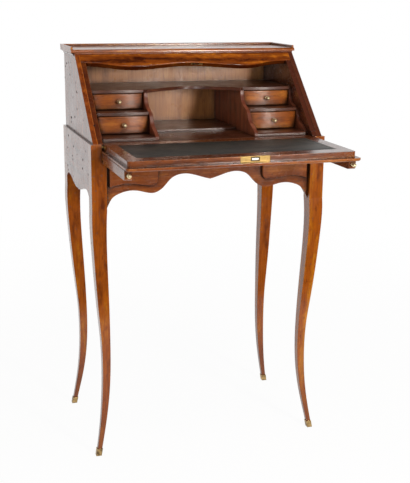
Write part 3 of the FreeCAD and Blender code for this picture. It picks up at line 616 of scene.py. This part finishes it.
# The material of each node, by the start of its name: the first that fits is used. A wood's name ends with
# the axis of its grain.
node_looks = (
    ("front_leg", "fruit_z"),
    ("rear_leg", "fruit_z"),
    ("sabots", "shoe"),
    ("front_apron", "apron_x"),
    ("side_apron", "panel_y"),
    ("back_apron", "inner_x"),
    ("bed_board", "bed_x"),
    ("bed_bearer", "lining_x"),
    ("loper_guides", "lining_y"),
    ("loper_knob", "brass"),
    ("loper_peg", "lining_x"),
    ("loper", "flap_y"),
    ("pivot_bushes", "shoe"),
    ("pivot_plates", "shoe"),
    ("pivot_screws", "shoe"),
    ("upper_side_right", "shade_z"),
    ("upper_side", "side_z"),
    ("back_panel", "inner_z"),
    ("top_board", "top_x"),
    ("gallery_rails", "top_x"),
    ("front_bead", "bead_x"),
    ("side_coves", "panel_y"),
    ("frieze", "frieze_x"),
    ("strike_plate", "shoe"),
    ("shelf", "floor_x"),
    ("partition", "upright_z"),
    ("drawer_linings", "upright_z"),
    ("drawer_dividers", "floor_x"),
    ("drawer_plinths", "floor_x"),
    ("centre_floor", "floor_x"),
    ("upper_drawer_front", "drawer_x"),
    ("lower_drawer_front", "drawer_x"),
    ("upper_drawer_walls", "lining_y"),
    ("lower_drawer_walls", "lining_y"),
    ("upper_drawer_bottom", "lining_y"),
    ("lower_drawer_bottom", "lining_y"),
    ("upper_drawer_knob", "brass"),
    ("lower_drawer_knob", "brass"),
    ("flap_board", "flap_x"),
    ("writing_leather", "leather"),
    ("lock_plate", "lock"),
    ("lock_screws", "shoe"),
    ("lock_case", "steel"),
    ("lock_bolt", "steel"),
    ("escutcheon", "plate"),
)


def make_materials():
    """Every material of the desk, by its short name."""
    made = {}
    for key in sorted({key for _, key in node_looks if "_" in key}):
        kind, axis = key.split("_")
        made[key] = wood(key + "_wood", axis.upper(), finishes[kind])
    low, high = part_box("writing_leather")
    made["leather"] = leather("writing_skin", low, high)
    for key, settings in metals.items():
        made[key] = metal(*settings)
    made["lock"] = metal("lock_brass", *metals["plate"][1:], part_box("lock_bolt"))
    return made


looks = make_materials()


def dress(obj, node_name):
    """Give an object the material of a node."""
    key = next(key for start, key in node_looks if node_name.startswith(start))
    obj.data.materials.clear()
    obj.data.materials.append(looks[key])


for node_name, node in nodes.items():
    dress(node, node_name)


def add_mesh(name, bm, body, slot, *stands_for):
    """Turn a bmesh into a piece that rides on a body in the place of CAD nodes."""
    mesh = bpy.data.meshes.new(name)
    bm.to_mesh(mesh)
    bm.free()
    piece = bpy.data.objects.new(name, mesh)
    bpy.context.scene.collection.objects.link(piece)
    dress(piece, stands_for[0])
    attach(piece, body)
    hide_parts(*stands_for)


def axis_turn(axis):
    """The turn that takes Z to an axis."""
    return Vector((0, 0, 1)).rotation_difference(axis).to_matrix()


def lathe(bm, outline, start, axis, steps):
    """Turn an outline of (distance along the axis, radius) about an axis."""
    turn = axis_turn(axis)
    rings = []
    for run, radius in outline:
        ring = []
        for step in range(steps):
            angle = 2 * math.pi * step / steps
            local = Vector((radius * math.cos(angle), radius * math.sin(angle), run))
            ring.append(bm.verts.new(start + turn @ local))
        rings.append(ring)
    for low, high in zip(rings, rings[1:]):
        for step in range(steps):
            after = (step + 1) % steps
            bm.faces.new((low[step], low[after], high[after], high[step])).smooth = True
    bm.faces.new(list(reversed(rings[0])))
    bm.faces.new(rings[-1])


# A turned knob, from the wood outwards: shares of its length and of its radius
knob_outline_shares = (
    (0.000, 0.80), (0.035, 0.85), (0.075, 0.85), (0.105, 0.78), (0.120, 0.62), (0.160, 0.50), (0.220, 0.43),
    (0.300, 0.42), (0.360, 0.47), (0.400, 0.58), (0.430, 0.74), (0.480, 0.88), (0.550, 0.97), (0.630, 1.00),
    (0.710, 0.98), (0.790, 0.90), (0.860, 0.77), (0.920, 0.60), (0.960, 0.42), (0.985, 0.24), (1.000, 0.08),
)
# its length in front of the wood, and its stem's length and radius in the wood, in shares of its radius
knob_length_share = 3.05
knob_stem_length_share = 1.8
knob_stem_share = 0.36
knob_steps = 40


def turned_knob(node_name, body):
    """A turned brass knob in the place of a plain one."""
    low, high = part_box(node_name)
    radius = (high.x - low.x) / 2
    length = knob_length_share * radius
    seat = Vector(((low.x + high.x) / 2, low.y + length, (low.z + high.z) / 2))
    stem = knob_stem_share * radius
    outline = [(-knob_stem_length_share * radius, stem), (0.0, stem)]
    outline += [(run * length, wide * radius) for run, wide in knob_outline_shares]
    bm = bmesh.new()
    lathe(bm, outline, seat, Vector((0, -1, 0)), knob_steps)
    add_mesh("turned_" + node_name, bm, body, "brass", node_name)


for side in ("left", "right"):
    turned_knob("loper_knob_" + side, "loper_" + side)
    for tier in ("upper", "lower"):
        turned_knob(f"{tier}_drawer_knob_{side}", f"{tier}_drawer_{side}")


# Slotted screws
screw_head_radius = 0.0019
screw_shank_radius = 0.0011
screw_length = 0.011
screw_tip_length = 0.002
screw_tip_radius = 0.0001
screw_head_depth = 0.0016
screw_hub_radius = 0.0002
screw_slot_half_width = 0.00028
screw_slot_depth = 0.0006
screw_steps = 28
half_disc_steps = 14
# turn of the first screw's slot, and from one screw to the next
lock_slot_turns = (0.5, 1.3)
pivot_slot_turns = (0.4, 0.9)


def slotted_screw(bm, head, axis, slot_turn):
    """A flush screw with a slotted head: a shank, and two half discs beside a groove."""
    outline = (
        (screw_slot_depth, screw_hub_radius),
        (screw_slot_depth, screw_head_radius),
        (screw_head_depth, screw_head_radius),
        (screw_head_depth, screw_shank_radius),
        (screw_length - screw_tip_length, screw_shank_radius),
        (screw_length, screw_tip_radius),
    )
    lathe(bm, outline, head, axis, screw_steps)
    turn = axis_turn(axis) @ Matrix.Rotation(slot_turn, 3, "Z")
    groove = Vector((0, 0, screw_slot_depth))
    start = math.asin(screw_slot_half_width / screw_head_radius)
    for flip in (0.0, math.pi):
        rim = []
        for step in range(half_disc_steps + 1):
            angle = start + (math.pi - 2 * start) * step / half_disc_steps + flip
            rim.append(Vector((math.cos(angle), math.sin(angle), 0)) * screw_head_radius)
        top = [bm.verts.new(head + turn @ point) for point in rim]
        low = [bm.verts.new(head + turn @ (point + groove)) for point in rim]
        bm.faces.new(list(reversed(top)))
        for i in range(len(rim)):
            j = (i + 1) % len(rim)
            bm.faces.new((top[i], top[j], low[j], low[i]))


# Corners as near as this are one, and places are put in order by this many digits
same_place = 1e-6
sort_digits = 4


def solid_boxes(node_name):
    """The lowest and highest corner of each separate solid of a node, in order along X and then Y."""
    bm = bmesh.new()
    bm.from_mesh(nodes[node_name].data)
    bmesh.ops.remove_doubles(bm, verts=bm.verts, dist=same_place)
    left = set(bm.verts)
    boxes = []
    while left:
        stack = [left.pop()]
        group = set(stack)
        while stack:
            vert = stack.pop()
            near = {edge.other_vert(vert) for edge in vert.link_edges} - group
            group |= near
            stack += near
        left -= group
        corners = [vert.co for vert in group]
        low = Vector([min(corner[i] for corner in corners) for i in range(3)])
        high = Vector([max(corner[i] for corner in corners) for i in range(3)])
        boxes.append((low, high))
    bm.free()
    return sorted(boxes, key=lambda box: (round(box[0].x, sort_digits), round(box[0].y, sort_digits)))


def make_screws():
    """The slotted screws of the lock and of the pivot plates."""
    first, step = lock_slot_turns
    bm = bmesh.new()
    for index, (low, high) in enumerate(solid_boxes("lock_screws")):
        head = Vector(((low.x + high.x) / 2, low.y, (low.z + high.z) / 2))
        slotted_screw(bm, head, Vector((0, 1, 0)), first + step * index)
    add_mesh("slotted_lock_screws", bm, "flap", "brass", "lock_screws")
    first, step = pivot_slot_turns
    bm = bmesh.new()
    for index, (low, high) in enumerate(solid_boxes("pivot_screws")):
        head = (low + high) / 2
        inward = -1 if head.x > 0 else 1
        head.x -= inward * screw_length / 2
        slotted_screw(bm, head, Vector((inward, 0, 0)), first + step * index)
    add_mesh("slotted_pivot_screws", bm, "flap", "brass", "pivot_screws")


make_screws()


# Floor: its size, its paper, and the distances over which it turns white to the camera
floor_half_width = 5.0
floor_front_y = -0.6
floor_back_y = 8.0
floor_z = -0.0005
floor_colour = (0.86, 0.86, 0.86)
floor_near = 0.5
floor_far = 2.5
floor_near_white = 0.95


def make_floor():
    """A pale floor, white to the camera but for the object's soft shadow."""
    bm = bmesh.new()
    corners = [(-floor_half_width, floor_front_y), (floor_half_width, floor_front_y)]
    corners += [(floor_half_width, floor_back_y), (-floor_half_width, floor_back_y)]
    bm.faces.new([bm.verts.new((x, y, floor_z)) for x, y in corners])
    mesh = bpy.data.meshes.new("floor")
    bm.to_mesh(mesh)
    bm.free()
    floor = bpy.data.objects.new("floor", mesh)
    bpy.context.scene.collection.objects.link(floor)
    material = bpy.data.materials.new("white_floor")
    mesh.materials.append(material)
    tree = Tree(material)
    tree.nodes.clear()
    ray = tree.add("ShaderNodeLightPath").outputs
    seen = tree.math("MAXIMUM", ray["Is Camera Ray"], ray["Is Glossy Ray"])
    away = tree.vectors("LENGTH", tree.add("ShaderNodeNewGeometry").outputs["Position"]).outputs["Value"]
    white_share = tree.math("MULTIPLY", seen, tree.span(away, floor_near, floor_far, floor_near_white, 1.0))
    paper = tree.add("ShaderNodeBsdfDiffuse", Color=floor_colour).outputs[0]
    glow = tree.add("ShaderNodeEmission").outputs[0]
    both = tree.add_in_order("ShaderNodeMixShader", {}, enumerate((white_share, paper, glow))).outputs[0]
    tree.add("ShaderNodeOutputMaterial", Surface=both)


# World: what the polish reflects, from dim before and above to white behind, and the light that it gives
white = (1.0, 1.0, 1.0)
room_dim_at = -0.45
room_white_at = 0.15
room_dim_level = 0.05
fill_level = 0.47


def make_world():
    """White to the camera; a room that is white behind and beside the object, dim above and before it."""
    world = bpy.data.worlds.new("studio")
    bpy.context.scene.world = world
    tree = Tree(world)
    tree.nodes.clear()
    direction = tree.add("ShaderNodeTexCoord").outputs["Generated"]
    above = tree.math("MAXIMUM", tree.part(direction, "Z"), 0.0)
    behind = tree.math("SUBTRACT", tree.part(direction, "Y"), above)
    room = tree.span(behind, room_dim_at, room_white_at, room_dim_level, 1.0)
    ray = tree.add("ShaderNodeLightPath").outputs
    unseen_level = tree.between(ray["Is Glossy Ray"], fill_level, room)
    seen = tree.math("MAXIMUM", ray["Is Camera Ray"], ray["Is Transmission Ray"])
    level = tree.between(seen, unseen_level, 1.0)
    glow = tree.add("ShaderNodeBackground", Color=white, Strength=level).outputs[0]
    tree.add("ShaderNodeOutputWorld", Surface=glow)


# Lamps: name, place, aim, width, height, watts and colour
warm_white = (1.0, 0.95, 0.88)
lamps = (
    ("key", (0.80, -2.30, 1.15), (0.0, 0.05, 0.80), 0.26, 0.36, 39.0, warm_white),
    ("strip", (0.95, -2.30, 0.68), (0.0, 0.05, 0.80), 0.30, 0.40, 7.5, warm_white),
    ("fill", (-0.95, -2.45, 1.00), (0.0, 0.0, 0.70), 0.35, 1.20, 17.0, white),
    ("top", (0.30, -1.20, 2.60), (0.0, 0.0, 0.80), 0.50, 0.30, 10.0, warm_white),
)


def softbox(name, place, aim, width, height, watts, colour):
    """A rectangular lamp that looks at a point."""
    lamp = bpy.data.lights.new(name, "AREA")
    lamp.shape = "RECTANGLE"
    lamp.size = width
    lamp.size_y = height
    lamp.energy = watts
    lamp.color = colour
    obj = bpy.data.objects.new(name, lamp)
    obj.location = place
    obj.rotation_euler = (Vector(aim) - Vector(place)).to_track_quat("-Z", "Y").to_euler()
    bpy.context.scene.collection.objects.link(obj)


def make_camera():
    """The photograph's camera."""
    camera = bpy.data.cameras.new("camera")
    camera.sensor_fit = "VERTICAL"
    camera.sensor_height = sensor_height_mm
    camera.lens = focal_px * sensor_height_mm / image_height_px
    forward = math.cos(camera_pitch)
    ahead = Vector((math.sin(camera_yaw) * forward, math.cos(camera_yaw) * forward, -math.sin(camera_pitch)))
    level = Vector((math.cos(camera_yaw), -math.sin(camera_yaw), 0))
    upright = level.cross(ahead)
    right = level * math.cos(camera_roll) + upright * math.sin(camera_roll)
    up = upright * math.cos(camera_roll) - level * math.sin(camera_roll)
    obj = bpy.data.objects.new("camera", camera)
    turn = Matrix((right, up, -ahead)).transposed().to_4x4()
    obj.matrix_world = Matrix.Translation(camera_place) @ turn
    bpy.context.scene.collection.objects.link(obj)
    bpy.context.scene.camera = obj


make_floor()
make_world()
for lamp_row in lamps:
    softbox(*lamp_row)
make_camera()
bpy.context.scene.view_settings.view_transform = "Standard"
